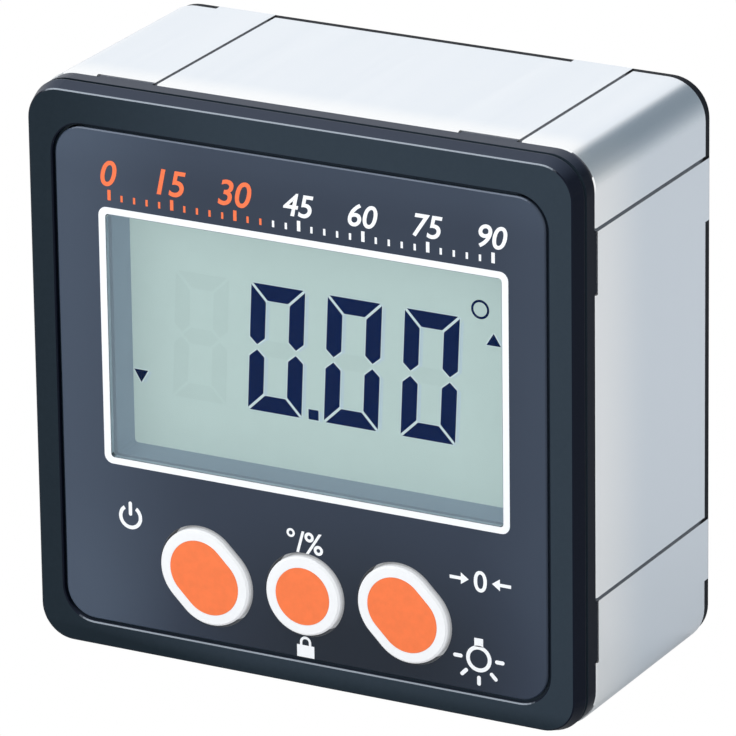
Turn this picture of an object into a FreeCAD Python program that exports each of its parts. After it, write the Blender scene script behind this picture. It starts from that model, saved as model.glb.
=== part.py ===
import FreeCAD, Part
import math
import os

# Digital inclinometer box: aluminium ring frame, moulded front and back, three keys, two AAA cells.
# Millimetres, +Z up, the display faces -Y, origin at the bottom centre of the bounding box.
# Depth values run backwards from the front plane of the bezel.

# Overall case, its width follows from the battery bay
frame_h = 58.4
frame_d = 23.75
bezel_d = 3.7
cover_t = 1.4
corner_r = 4.0
frame_proud = 0.13
bezel_bevel_w = 0.5
bezel_bevel_d = 1.5
bezel_crease = 0.1
cover_edge_r = 0.5

# Allowances for cuts and for finding edges
cut_over = 1.0
flat_tol = 1e-4
rim_tol = 0.01

# Frame section
wall = 2.0
base_wall = 2.8
edge_chamfer = 0.12
groove_w = 0.4
groove_t = 0.35
top_groove_near = 7.95
top_groove_far = 12.75
side_groove_near = 7.7
side_groove_far = 13.4
tab_w = 6.3
tab_len = 0.7
notch_len = 0.4
channel_r = 2.9
channel_inset = 6.2
channel_short = 1.4
channel_slot = 1.0
channel_web = 3.0
pilot_r = 1.05

# Base magnets
magnet_r = 4.0
magnet_t = 2.2
magnet_pitch = 12.0
magnet_gap = 0.08

# Bezel and label
label_side_margin = 3.15
label_top_margin = 3.85
label_low_margin = 2.95
label_r = 3.4
label_recess = 0.12
label_t = 0.48
label_gap = 0.33
label_chamfer = 0.12
pocket_edge_chamfer = 0.12
bezel_wall = 1.6
step_at = 1.6
step_w = 0.5
step_t = 0.35
lip_t = 1.0
lip_len = 1.7
lip_gap = 0.15

# Window and display, they and the keys are centred a little to the right
art_x = 0.2
window_x = 0.4
window_side_margin = 8.5
window_low_edge = 20.7
window_top_margin = 12.6
window_r = 0.4
lens_t = 0.9
lens_ledge = 0.7
lens_gap = 0.05
tub_offset = 0.1
tub_rim_t = 0.6
tub_wall = 1.2
tub_gap = 0.12
lcd_depth = 4.95
lcd_t = 2.0
lcd_ledge = 0.9
glass_gap = 0.1
light_t = 2.2
light_end_gap = 2.6
zebra_h = 1.8
zebra_gap = 0.4
led_count = 2
led_pitch = 9.0
led_w = 1.6
led_l = 3.0
led_t = 1.2

# Keys
key_low_edge = 9.95
key_pitch = 10.9
key_rise = 0.52
key_r = 4.23
mid_key_r = 4.07
key_half_slot = 0.92
key_slant = -45.0
key_rim_w = 1.1
key_cap_t = 0.9
key_cap_gap = 0.03
key_gap = 0.28
key_edge_chamfer = 0.2
key_flange_w = 0.45
key_flange_t = 0.8
key_stem_r = 1.6
key_travel = 0.5

# Switches
switch_w = 6.0
switch_body_t = 3.5
switch_end_gap = 0.2
plunger_r = 1.6
plunger_out = 1.0
plunger_in = 2.0
plunger_gap = 0.3

# Main board
board_t = 1.2
board_side_gap = 0.6
board_channel_gap = 0.9
post_r = 1.9
post_pilot_r = 0.8
post_pilot_floor = 1.0
low_post_inset = 8.4
low_post_z = 14.4
high_post_inset = 14.0
high_post_drop = 7.8
board_screw_r = 0.75
board_screw_head_r = 1.6
board_screw_head_t = 1.0
board_screw_len = 4.0
chip_w = 7.0
chip_t = 1.0
sensor_w = 3.6
sensor_t = 1.1
sensor_shift = 14.0
crystal_w = 3.2
crystal_l = 1.5
crystal_t = 0.8
crystal_shift = 7.0
small_part_w = 1.0
small_part_l = 1.8
small_part_t = 0.6
small_part_pitch = 2.6
small_part_count = 5
small_part_shift = 14.0

# Case screws
screw_r = 1.0
screw_head_r = 1.9
screw_head_t = 1.2
screw_len = 6.0
screw_hole_gap = 0.1
shaft_sides = 8
head_gap = 0.2
cross_w = 0.5
cross_l = 2.2
cross_t = 0.5

# Battery bay
cell_r = 5.25
cell_len = 43.5
cell_nub_r = 1.9
cell_nub_len = 1.0
cell_pitch = 11.4
cell_rise = 0.3
cradle_gap = 0.15
tray_floor_t = 1.0
tray_wall = 1.2
tray_end_gap = 1.55
ridge_inset = 10.9
ridge_h = 5.7
ridge_drop = 1.75
contact_t = 0.4
contact_w = 8.0
contact_h = 9.0
tag_w = 1.6
tag_out = 0.5
tag_gap = 0.05
tag_end_gap = 0.4
spring_len = 5.2
spring_r = 2.8
spring_wire_r = 0.35
spring_turns = 2
spring_sides = 5
leg_slot = 1.3
leg_t = 0.9
leg_w = 6.0
leg_len = 4.2
leg_inset = 10.25
foam_t = 0.8
foam_gap = 0.2
foam_side_gap = 6.25
foam_end_gap = 4.25
door_gap = 0.3
door_seat_z = 0.5
door_seat_x = 0.6
door_r = 1.0
grip_w = 9.0
grip_h = 12.0
grip_t = 0.5
grip_rib_w = 0.8
grip_rib_count = 4
pry_w = 8.0
pry_h = 1.6
pry_t = 0.7
lead_r = 0.45

# Derived places
tray_in_w = cell_len + cell_nub_len + spring_len + 2 * contact_t
tray_in_h = cell_pitch + 2 * cell_r + 2 * leg_slot
tray_out_w = tray_in_w + 2 * tray_wall
tray_out_h = tray_in_h + 2 * tray_wall
frame_w = tray_out_w + 2 * (tray_end_gap + wall)
key_proud = key_rise - label_recess
case_depth = bezel_d + frame_d + cover_t
front_y = key_proud - (case_depth + key_proud) / 2
skin_w = frame_w - 2 * frame_proud
skin_h = frame_h - 2 * frame_proud
skin_r = corner_r - frame_proud
mid_z = frame_h / 2
frame_back = bezel_d + frame_d
inner_w = frame_w - 2 * wall
inner_low = base_wall
inner_high = frame_h - wall
inner_r = corner_r - wall
pocket_d = label_recess + label_t
bezel_back = pocket_d + bezel_wall
label_w = frame_w - 2 * label_side_margin
label_low = label_low_margin
label_high = frame_h - label_top_margin
window_w = frame_w - 2 * window_side_margin
window_h = frame_h - window_low_edge - window_top_margin
window_z = window_low_edge + window_h / 2
lens_back = pocket_d + lens_t
tub_w = window_w + 2 * tub_offset
tub_h = window_h + 2 * tub_offset
glass_w = tub_w + 2 * lcd_ledge
glass_h = tub_h + 2 * lcd_ledge
board_d = lcd_depth + lcd_t + light_t
board_back = board_d + board_t
switch_front = board_d - switch_body_t
plunger_front = switch_front - plunger_out
switch_bore_d = plunger_in + key_travel + switch_end_gap
cell_d = frame_back - foam_t - foam_gap - cell_r
tray_floor_d = cell_d - cell_r - cell_rise - tray_floor_t
door_w = tray_in_w + 2 * door_seat_x
door_h = tray_in_h + 2 * door_seat_z
opening_w = door_w + 2 * door_gap
opening_h = door_h + 2 * door_gap
plate_x = tray_in_w / 2 - contact_t
channel_x = frame_w / 2 - channel_inset
channel_low_z = channel_inset
channel_high_z = frame_h - channel_inset
channel_places = [(sx * channel_x, z) for sx in (-1, 1) for z in (channel_low_z, channel_high_z)]
low_post_x = frame_w / 2 - low_post_inset
high_post_x = frame_w / 2 - high_post_inset
post_places = [(sx * low_post_x, low_post_z) for sx in (-1, 1)]
post_places += [(sx * high_post_x, frame_h - high_post_drop) for sx in (-1, 1)]
keys = {
    "left": (art_x - key_pitch, key_r, key_half_slot),
    "middle": (art_x, mid_key_r, 0.0),
    "right": (art_x + key_pitch, key_r, key_half_slot),
}


def point(x, d, z):
    return FreeCAD.Vector(x, front_y + d, z)


def box(x0, x1, d0, d1, z0, z1):
    return Part.makeBox(x1 - x0, d1 - d0, z1 - z0, point(x0, d0, z0))


def centred_box(x, z, w, h, d0, d1):
    return box(x - w / 2, x + w / 2, d0, d1, z - h / 2, z + h / 2)


def rod(x, z, r, d0, d1):
    return Part.makeCylinder(r, d1 - d0, point(x, d0, z), FreeCAD.Vector(0, 1, 0))


# Screw shafts and their bores are hidden and repeat, so they have flat sides in place of a round one
def prism(x, z, corner, d0, d1):
    corners = []
    for i in range(shaft_sides):
        a = 2 * math.pi * i / shaft_sides
        corners.append(point(x + corner * math.cos(a), d0, z + corner * math.sin(a)))
    face = Part.Face(Part.makePolygon(corners + corners[:1]))
    return face.extrude(FreeCAD.Vector(0, d1 - d0, 0))


# The flats of a bore touch its circle, so a shaft with its corners on a smaller circle clears it
def bore(x, z, r, d0, d1):
    return prism(x, z, r / math.cos(math.pi / shaft_sides), d0, d1)


def rod_x(x0, x1, d, z, r):
    return Part.makeCylinder(r, x1 - x0, point(x0, d, z), FreeCAD.Vector(1, 0, 0))


def corner_arc(cx, cz, r, start, d):
    spots = []
    for angle in (start, start + 45, start + 90):
        a = math.radians(angle)
        spots.append(point(cx + r * math.cos(a), d, cz + r * math.sin(a)))
    return Part.Arc(*spots).toShape()


def rounded_slab(x, z, w, h, r, d0, d1):
    right, left = x + w / 2 - r, x - w / 2 + r
    high, low = z + h / 2 - r, z - h / 2 + r
    arcs = [
        corner_arc(right, high, r, 0, d0),
        corner_arc(left, high, r, 90, d0),
        corner_arc(left, low, r, 180, d0),
        corner_arc(right, low, r, 270, d0),
    ]
    edges = []
    for i, arc in enumerate(arcs):
        following = arcs[(i + 1) % 4]
        edges.append(arc)
        edges.append(Part.LineSegment(arc.lastVertex().Point, following.firstVertex().Point).toShape())
    face = Part.Face(Part.Wire(edges))
    return face.extrude(FreeCAD.Vector(0, d1 - d0, 0))


def slab_between(x0, x1, z0, z1, r, d0, d1):
    return rounded_slab((x0 + x1) / 2, (z0 + z1) / 2, x1 - x0, z1 - z0, r, d0, d1)


# A slanted stadium, or a disc where its straight part is zero
def key_form(x, r, half_slot, d0, d1):
    form = rod(x, key_low_edge, r, d0, d1)
    if half_slot > 0:
        a = math.radians(key_slant)
        dx, dz = math.cos(a), math.sin(a)
        first = rod(x + half_slot * dx, key_low_edge + half_slot * dz, r, d0, d1)
        second = rod(x - half_slot * dx, key_low_edge - half_slot * dz, r, d0, d1)
        bar = centred_box(x, key_low_edge, 2 * half_slot, 2 * r, d0, d1)
        bar.rotate(point(x, d0, key_low_edge), FreeCAD.Vector(0, 1, 0), -key_slant)
        form = first.fuse([second, bar]).removeSplitter()
    return form


def edges_at_depth(shape, d):
    y = front_y + d
    found = []
    for edge in shape.Edges:
        limits = edge.BoundBox
        if abs(limits.YMin - y) < flat_tol and abs(limits.YMax - y) < flat_tol:
            found.append(edge)
    return found


def fuse_all(shapes):
    return shapes[0].fuse(shapes[1:]).removeSplitter()


# Frame


def groove_xs():
    return [-frame_w / 2 + top_groove_far, frame_w / 2 - top_groove_near]


def groove_zs():
    return [side_groove_far, frame_h - side_groove_near]


# Blocks beside each groove: left of it on the top and base, below it on the sides
def tab_blocks(gap, reach, d0, d1):
    w, half = tab_w + 2 * gap, frame_w / 2
    shift = groove_w / 2 + tab_w / 2
    blocks = []
    for x in groove_xs():
        for z0, z1 in ((0, reach), (frame_h - reach, frame_h)):
            blocks.append(box(x - shift - w / 2, x - shift + w / 2, d0, d1, z0, z1))
    for z in groove_zs():
        for x0, x1 in ((-half, -half + reach), (half - reach, half)):
            blocks.append(box(x0, x1, d0, d1, z - shift - w / 2, z - shift + w / 2))
    return blocks


def frame_grooves():
    half = groove_w / 2
    cuts = []
    for x in groove_xs():
        for z0, z1 in ((0, groove_t), (frame_h - groove_t, frame_h)):
            cuts.append(box(x - half, x + half, 0, case_depth, z0, z1))
    for z in groove_zs():
        for x0, x1 in ((-frame_w / 2, -frame_w / 2 + groove_t), (frame_w / 2 - groove_t, frame_w / 2)):
            cuts.append(box(x0, x1, 0, case_depth, z - half, z + half))
    return cuts


def inner_space(gap, d0, d1):
    return slab_between(
        -inner_w / 2 + gap, inner_w / 2 - gap, inner_low + gap, inner_high - gap, inner_r - gap, d0, d1
    )


# A bar from a channel's axis along the diagonal, towards its corner or away from it
def diagonal_bar(x, z, w, reach, towards_corner, d0, d1):
    bar = box(x - w / 2, x + w / 2, d0, d1, z, z + reach)
    dx, dz = math.copysign(1, x), math.copysign(1, z - mid_z)
    sense = 1 if towards_corner else -1
    turn = math.degrees(math.atan2(sense * dx, sense * dz))
    bar.rotate(point(x, 0, z), FreeCAD.Vector(0, 1, 0), turn)
    return bar


# Round screw channels, each on a web from the corner
def channels(d0, d1, gap=0):
    forms = []
    for x, z in channel_places:
        tube = rod(x, z, channel_r + gap, d0, d1)
        web = diagonal_bar(x, z, channel_web + 2 * gap, channel_inset * math.sqrt(2), True, d0, d1)
        forms.append(tube.fuse(web).removeSplitter())
    return forms


# Three discs midway between the grooves of the base
def magnets(gap):
    mid_x = sum(groove_xs()) / 2
    spots = []
    for i in (-1, 0, 1):
        start = point(mid_x + i * magnet_pitch, bezel_d + frame_d / 2, 0)
        spots.append(Part.makeCylinder(magnet_r + gap, magnet_t, start, FreeCAD.Vector(0, 0, 1)))
    return spots


def side_frame():
    outer = rounded_slab(0, mid_z, frame_w, frame_h, corner_r, bezel_d, frame_back)
    outer = outer.makeChamfer(
        edge_chamfer, edges_at_depth(outer, bezel_d) + edges_at_depth(outer, frame_back)
    )
    ring = outer.cut(inner_space(0, bezel_d, frame_back))
    body = rounded_slab(0, mid_z, frame_w, frame_h, corner_r, bezel_d, frame_back)
    corners = [c.common(body) for c in channels(bezel_d, frame_back - channel_short)]
    tabs = tab_blocks(0, wall, frame_back - edge_chamfer, frame_back + tab_len)
    ring = fuse_all([ring] + corners + tabs)
    cuts = tab_blocks(0, wall, bezel_d - cut_over, bezel_d + notch_len)
    cuts += frame_grooves() + magnets(magnet_gap)
    for x, z in channel_places:
        cuts.append(bore(x, z, pilot_r, 0, case_depth))
        cuts.append(diagonal_bar(x, z, channel_slot, channel_inset, False, 0, case_depth))
    return ring.cut(cuts).removeSplitter()


# Front bezel


def screw_holes(seat_d, head_out_d, hole_end_d):
    d0, d1 = sorted((seat_d, head_out_d))
    cuts = [rod(x, z, screw_head_r + head_gap, d0, d1) for x, z in channel_places]
    e0, e1 = sorted((seat_d, hole_end_d))
    cuts += [bore(x, z, screw_r + screw_hole_gap, e0, e1) for x, z in channel_places]
    return cuts


def front_bezel():
    shell = rounded_slab(0, mid_z, skin_w, skin_h, skin_r, 0, bezel_d)
    shell = shell.makeChamfer(bezel_bevel_d, bezel_bevel_w, edges_at_depth(shell, 0))
    shell = shell.makeChamfer(bezel_crease, edges_at_depth(shell, 0))
    band = rounded_slab(0, mid_z, frame_w, frame_h, corner_r, step_at, step_at + step_w)
    core = rounded_slab(
        0, mid_z, skin_w - 2 * step_t, skin_h - 2 * step_t, skin_r - step_t, step_at, step_at + step_w
    )
    shell = shell.cut(band.cut(core))
    lip = inner_space(lip_gap, bezel_d, bezel_d + lip_len)
    lands = [
        b.common(rounded_slab(0, mid_z, skin_w, skin_h, skin_r, bezel_d, case_depth))
        for b in tab_blocks(-lip_gap, wall - lip_gap, bezel_d, bezel_d + notch_len)
    ]
    solid = fuse_all([shell, lip] + lands)
    solid = solid.cut(inner_space(lip_gap + lip_t, bezel_back, case_depth))
    bosses = [c.common(inner_space(lip_gap, 0, case_depth)) for c in channels(bezel_back, bezel_d)]
    posts = [rod(x, z, post_r, bezel_back, board_d) for x, z in post_places]
    solid = fuse_all([solid] + bosses + posts)
    pocket = slab_between(-label_w / 2, label_w / 2, label_low, label_high, label_r, 0, pocket_d)
    cuts = [pocket]
    cuts.append(rounded_slab(
        window_x, window_z, tub_w + 2 * (tub_rim_t + tub_gap), tub_h + 2 * (tub_rim_t + tub_gap),
        window_r + tub_rim_t + tub_gap, 0, bezel_back
    ))
    cuts.append(rounded_slab(
        window_x, window_z, lens_w() + 2 * tub_gap, lens_h() + 2 * tub_gap, window_r + lens_ledge, 0, lens_back
    ))
    for x, r, half_slot in keys.values():
        cuts.append(key_form(x, r + key_gap, half_slot, 0, bezel_back))
    cuts += [bore(x, z, post_pilot_r, bezel_back + post_pilot_floor, board_d) for x, z in post_places]
    cuts += screw_holes(pocket_d + screw_head_t, pocket_d, bezel_d)
    cuts += channels(bezel_d, bezel_d + lip_len, lip_gap)
    solid = solid.cut(cuts)
    return solid.makeChamfer(pocket_edge_chamfer, pocket_rim(solid))


def pocket_rim(solid):
    rim = []
    for edge in edges_at_depth(solid, 0):
        limits = edge.BoundBox
        inside = limits.XMin > -label_w / 2 - rim_tol and limits.XMax < label_w / 2 + rim_tol
        inside = inside and limits.ZMin > label_low - rim_tol and limits.ZMax < label_high + rim_tol
        if inside:
            rim.append(edge)
    return rim


# Label, lens and display


def lens_w():
    return tub_w + 2 * (tub_rim_t + tub_gap + lens_ledge)


def lens_h():
    return tub_h + 2 * (tub_rim_t + tub_gap + lens_ledge)


def front_label():
    sheet = slab_between(
        -label_w / 2 + label_gap, label_w / 2 - label_gap, label_low + label_gap, label_high - label_gap,
        label_r - label_gap, label_recess, pocket_d
    )
    sheet = sheet.makeChamfer(label_chamfer, edges_at_depth(sheet, label_recess))
    cuts = [rounded_slab(window_x, window_z, window_w, window_h, window_r, 0, pocket_d)]
    for x, r, half_slot in keys.values():
        cuts.append(key_form(x, r + key_gap, half_slot, 0, pocket_d))
    return sheet.cut(cuts)


def display_window():
    raised = rounded_slab(
        window_x, window_z, window_w - 2 * lens_gap, window_h - 2 * lens_gap, window_r, label_recess, pocket_d
    )
    flange = rounded_slab(window_x, window_z, lens_w(), lens_h(), window_r + lens_ledge, pocket_d, lens_back)
    return raised.fuse(flange).removeSplitter()


def lcd_holder():
    rim = rounded_slab(
        window_x, window_z, tub_w + 2 * tub_rim_t, tub_h + 2 * tub_rim_t, window_r + tub_rim_t,
        lens_back, bezel_back + tub_gap
    )
    outer_w = glass_w + 2 * (glass_gap + tub_wall)
    outer_h = glass_h + 2 * (glass_gap + tub_wall)
    body = rounded_slab(window_x, window_z, outer_w, outer_h, tub_wall, bezel_back + tub_gap, board_d)
    well = rounded_slab(window_x, window_z, tub_w, tub_h, window_r, 0, board_d)
    seat = centred_box(
        window_x, window_z, glass_w + 2 * glass_gap, glass_h + 2 * glass_gap, lcd_depth, board_d
    )
    return rim.fuse(body).cut([well, seat]).removeSplitter()


def lcd_glass():
    return centred_box(window_x, window_z, glass_w, glass_h, lcd_depth, lcd_depth + lcd_t)


def light_low():
    return window_z - glass_h / 2 + zebra_h + 2 * zebra_gap


def lcd_backlight():
    x0, x1 = window_x - glass_w / 2, window_x + glass_w / 2
    return box(x0, x1 - light_end_gap, lcd_depth + lcd_t, board_d, light_low(), window_z + glass_h / 2)


def backlight_leds():
    x = window_x + glass_w / 2 - light_end_gap / 2
    mid = (light_low() + window_z + glass_h / 2) / 2
    start = mid - led_pitch * (led_count - 1) / 2
    lamps = []
    for i in range(led_count):
        lamps.append(centred_box(x, start + i * led_pitch, led_w, led_l, board_d - led_t, board_d))
    return Part.makeCompound(lamps)


def zebra_strip():
    low = window_z - glass_h / 2 + zebra_gap
    return box(
        window_x - glass_w / 2 + zebra_gap, window_x + glass_w / 2 - zebra_gap, lcd_depth + lcd_t, board_d,
        low, low + zebra_h
    )


# Keys and switches


def key_rim(x, r, half_slot):
    top = -key_proud
    form = key_form(x, r, half_slot, top, bezel_back)
    form = form.makeChamfer(key_edge_chamfer, edges_at_depth(form, top))
    flange = key_form(x, r + key_gap + key_flange_w, half_slot, bezel_back, bezel_back + key_flange_t)
    stem = rod(x, key_low_edge, key_stem_r, bezel_back, plunger_front)
    hollow = key_form(x, r - key_rim_w, half_slot, top, top + key_cap_t)
    return fuse_all([form, flange, stem]).cut(hollow)


def key_cap(x, r, half_slot):
    top = -key_proud
    return key_form(x, r - key_rim_w - key_cap_gap, half_slot, top, top + key_cap_t)


def switch_plunger(x):
    return rod(x, key_low_edge, plunger_r, plunger_front, switch_front + plunger_in)


def switch_body(x):
    body = centred_box(x, key_low_edge, switch_w, switch_w, switch_front, board_d)
    well = rod(x, key_low_edge, plunger_r + plunger_gap, switch_front, switch_front + switch_bore_d)
    return body.cut(well)


# Main board


def main_board():
    x1 = inner_w / 2 - board_side_gap
    z0, z1 = inner_low + board_side_gap, inner_high - board_side_gap
    board = box(-x1, x1, board_d, board_back, z0, z1)
    notch = 2 * (channel_inset + channel_r + board_channel_gap)
    cuts = []
    for x in (-frame_w / 2, frame_w / 2):
        for z in (0, frame_h):
            cuts.append(centred_box(x, z, notch, notch, board_d, board_back))
    cuts += [bore(x, z, board_screw_r + screw_hole_gap, board_d, board_back) for x, z in post_places]
    return board.cut(cuts)


def cross_recess(x, z, d0, d1):
    return [centred_box(x, z, cross_l, cross_w, d0, d1), centred_box(x, z, cross_w, cross_l, d0, d1)]


# A pan-head screw whose head lies on the seat and points out of it
def plain_screw(x, z, seat_d, outward, r, length, head_r, head_t):
    d0, d1 = sorted((seat_d, seat_d + outward * head_t))
    head = rod(x, z, head_r, d0, d1)
    e0, e1 = sorted((seat_d, seat_d - outward * length))
    shaft = prism(x, z, r, e0, e1)
    return head.fuse(shaft).removeSplitter()


def board_screws():
    return Part.makeCompound([
        plain_screw(x, z, board_back, 1, board_screw_r, board_screw_len, board_screw_head_r, board_screw_head_t)
        for x, z in post_places
    ])


def bezel_screws():
    seat_d = pocket_d + screw_head_t
    return Part.makeCompound([
        plain_screw(x, z, seat_d, -1, screw_r, screw_len, screw_head_r, screw_head_t)
        for x, z in channel_places
    ])


# The screws of the back are the ones in view, so their heads have a cross
def cover_screws():
    seat_d = case_depth - screw_head_t
    screws = []
    for x, z in channel_places:
        body = plain_screw(x, z, seat_d, 1, screw_r, screw_len, screw_head_r, screw_head_t)
        screws.append(body.cut(cross_recess(x, z, case_depth - cross_t, case_depth)))
    return Part.makeCompound(screws)


def controller_chip():
    return centred_box(art_x, mid_z, chip_w, chip_w, board_back, board_back + chip_t)


def tilt_sensor():
    return centred_box(art_x + sensor_shift, mid_z, sensor_w, sensor_w, board_back, board_back + sensor_t)


def crystal():
    return centred_box(
        art_x, mid_z + crystal_shift, crystal_w, crystal_l, board_back, board_back + crystal_t
    )


def board_parts():
    parts = []
    for row in (-1, 1):
        for i in range(small_part_count):
            x = art_x - small_part_shift + (i - (small_part_count - 1) / 2) * small_part_pitch
            z = mid_z + row * small_part_pitch
            parts.append(centred_box(
                x, z, small_part_w, small_part_l, board_back, board_back + small_part_t
            ))
    return Part.makeCompound(parts)


# Back cover and battery bay


def back_cover():
    plate = rounded_slab(0, mid_z, skin_w, skin_h, skin_r, frame_back, case_depth)
    plate = plate.makeFillet(cover_edge_r, edges_at_depth(plate, case_depth))
    plate = plate.cut(tab_blocks(lip_gap, wall + lip_gap, frame_back, frame_back + tab_len + lip_gap))
    lip = inner_space(lip_gap, frame_back - lip_len, frame_back)
    lip = lip.cut(inner_space(lip_gap + lip_t, 0, frame_back))
    lip = lip.cut(channels(0, frame_back, lip_gap))
    seat_d = frame_back - channel_short
    bosses = [c.common(inner_space(lip_gap, 0, case_depth)) for c in channels(seat_d, frame_back)]
    solid = fuse_all([plate, lip] + bosses)
    cuts = [rounded_slab(0, mid_z, opening_w, opening_h, door_r + door_gap, 0, case_depth)]
    cuts += screw_holes(case_depth - screw_head_t, case_depth, seat_d)
    low = mid_z - opening_h / 2
    cuts.append(box(-pry_w / 2, pry_w / 2, case_depth - pry_t, case_depth, low - pry_h, low))
    return solid.cut(cuts)


def battery_tray():
    tray = centred_box(0, mid_z, tray_out_w, tray_out_h, tray_floor_d, frame_back)
    room = centred_box(0, mid_z, tray_in_w, tray_in_h, tray_floor_d + tray_floor_t, frame_back)
    tray = tray.cut(room)
    ridge_w = cell_len - 2 * ridge_inset
    ridge = centred_box(0, mid_z, ridge_w, ridge_h, tray_floor_d + tray_floor_t, cell_d - ridge_drop)
    lows = [rod_x(-tray_in_w / 2, tray_in_w / 2, cell_d, z, cell_r + cradle_gap) for z in cell_zs()]
    return tray.fuse(ridge).cut(lows + tag_slots()).removeSplitter()


def cell_zs():
    return [mid_z + cell_pitch / 2, mid_z - cell_pitch / 2]


def tag_places():
    return [(tray_in_w / 2 - contact_t / 2, z) for z in cell_zs()]


def tag_slots():
    w, h = contact_t + 2 * tag_gap, tag_w + 2 * tag_end_gap
    return [
        centred_box(x, z, w, h, tray_floor_d, tray_floor_d + tray_floor_t) for x, z in tag_places()
    ]


def cell(side, z):
    body = rod_x(-cell_len / 2, cell_len / 2, cell_d, z, cell_r)
    nub = rod_x(cell_len / 2, cell_len / 2 + cell_nub_len, cell_d, z, cell_nub_r)
    solid = body.fuse(nub)
    solid.translate(FreeCAD.Vector(plate_x - cell_len / 2 - cell_nub_len, 0, 0))
    if side < 0:
        solid.rotate(point(0, cell_d, z), FreeCAD.Vector(0, 0, 1), 180)
    return solid


def contact_plate(x, z0, z1):
    return box(
        x - contact_t / 2, x + contact_t / 2, tray_floor_d + tray_floor_t, cell_d + contact_h / 2, z0, z1
    )


def bridge_contact():
    zs = cell_zs()
    x = -tray_in_w / 2 + contact_t / 2
    return contact_plate(x, zs[1] - contact_w / 2, zs[0] + contact_w / 2)


def tagged_contact(place):
    x, z = place
    plate = contact_plate(x, z - contact_w / 2, z + contact_w / 2)
    tag = centred_box(x, z, contact_t, tag_w, tray_floor_d - tag_out, tray_floor_d + tray_floor_t)
    return plate.fuse(tag).removeSplitter()


# An arc from start to end whose end tangents meet at the corner
def arc_by_corner(start, corner, end):
    middle = (start + end) * 0.5
    half = (end - start).Length / 2
    turn = math.acos(half / (corner - start).Length)
    towards = corner - middle
    towards.normalize()
    return Part.Arc(start, middle + towards * (half * math.tan(turn / 2)), end).toShape()


# Two tangent arcs that join two points with their directions
def biarc(start, start_way, end, end_way):
    span, ways = end - start, start_way + end_way
    a, b = 2 * (1 - start_way.dot(end_way)), span.dot(ways)
    reach = (-b + math.sqrt(b * b + a * span.dot(span))) / a
    first = start + start_way * reach
    second = end - end_way * reach
    joint = (first + second) * 0.5
    return [arc_by_corner(start, first, joint), arc_by_corner(joint, second, end)]


# The polygon that stands for the round wire's section
def wire_section(centre, way):
    side = FreeCAD.Vector(1, 0, 0).cross(way)
    side.normalize()
    other = way.cross(side)
    corners = []
    for i in range(spring_sides):
        a = 2 * math.pi * i / spring_sides
        corners.append(centre + (side * math.cos(a) + other * math.sin(a)) * spring_wire_r)
    return Part.makePolygon(corners + corners[:1])


# A coil spring between its plate and the flat end of its cell, from tangent arcs
def spring(side, z):
    rise = (spring_len - 2 * spring_wire_r) / spring_turns
    spots = []
    for i in range(4 * spring_turns + 1):
        a = math.pi / 2 * i
        c, s = math.cos(a), math.sin(a)
        spot = FreeCAD.Vector(spring_wire_r - plate_x + rise * i / 4, spring_r * c, spring_r * s)
        way = FreeCAD.Vector(rise / (2 * math.pi), -spring_r * s, spring_r * c)
        way.normalize()
        spots.append((spot, way))
    arcs = []
    for (start, start_way), (end, end_way) in zip(spots, spots[1:]):
        arcs += biarc(start, start_way, end, end_way)
    coil = Part.Wire(arcs).makePipeShell([wire_section(*spots[0])], True, False)
    coil.translate(point(0, cell_d, z))
    if side > 0:
        coil.rotate(point(0, cell_d, z), FreeCAD.Vector(0, 0, 1), 180)
    return coil


def battery_door():
    door = rounded_slab(0, mid_z, door_w, door_h, door_r, frame_back, case_depth)
    leg_x = tray_in_w / 2 - leg_inset
    legs = []
    for x in (-leg_x, leg_x):
        for side in (-1, 1):
            z = mid_z + side * (tray_in_h / 2 - leg_slot / 2)
            legs.append(centred_box(x, z, leg_w, leg_t, frame_back - leg_len, frame_back))
    grip_z = mid_z - door_h / 2 + grip_h / 2 + grip_rib_w
    grip = rounded_slab(0, grip_z, grip_w, grip_h, door_r, case_depth - grip_t, case_depth)
    space = grip_h / (grip_rib_count + 1)
    ribs = []
    for i in range(grip_rib_count):
        z = grip_z - grip_h / 2 + (i + 1) * space
        ribs.append(centred_box(0, z, grip_w, grip_rib_w, case_depth - grip_t, case_depth))
    return fuse_all([door] + legs).cut(grip.cut(ribs))


def door_foam():
    w, h = tray_in_w - 2 * foam_side_gap, tray_in_h - 2 * foam_end_gap
    return centred_box(0, mid_z, w, h, frame_back - foam_t, frame_back)


# A short insulated lead from a contact tag to its pad on the board
def lead(place):
    x, z = place
    return rod(x, z, lead_r, board_back, tray_floor_d - tag_out)


def save(name, shape):
    shape.exportStep(os.path.join("parts", name + ".step"))
    print(name, round(shape.Volume, 2), shape.isValid(), len(shape.Solids))


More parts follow.
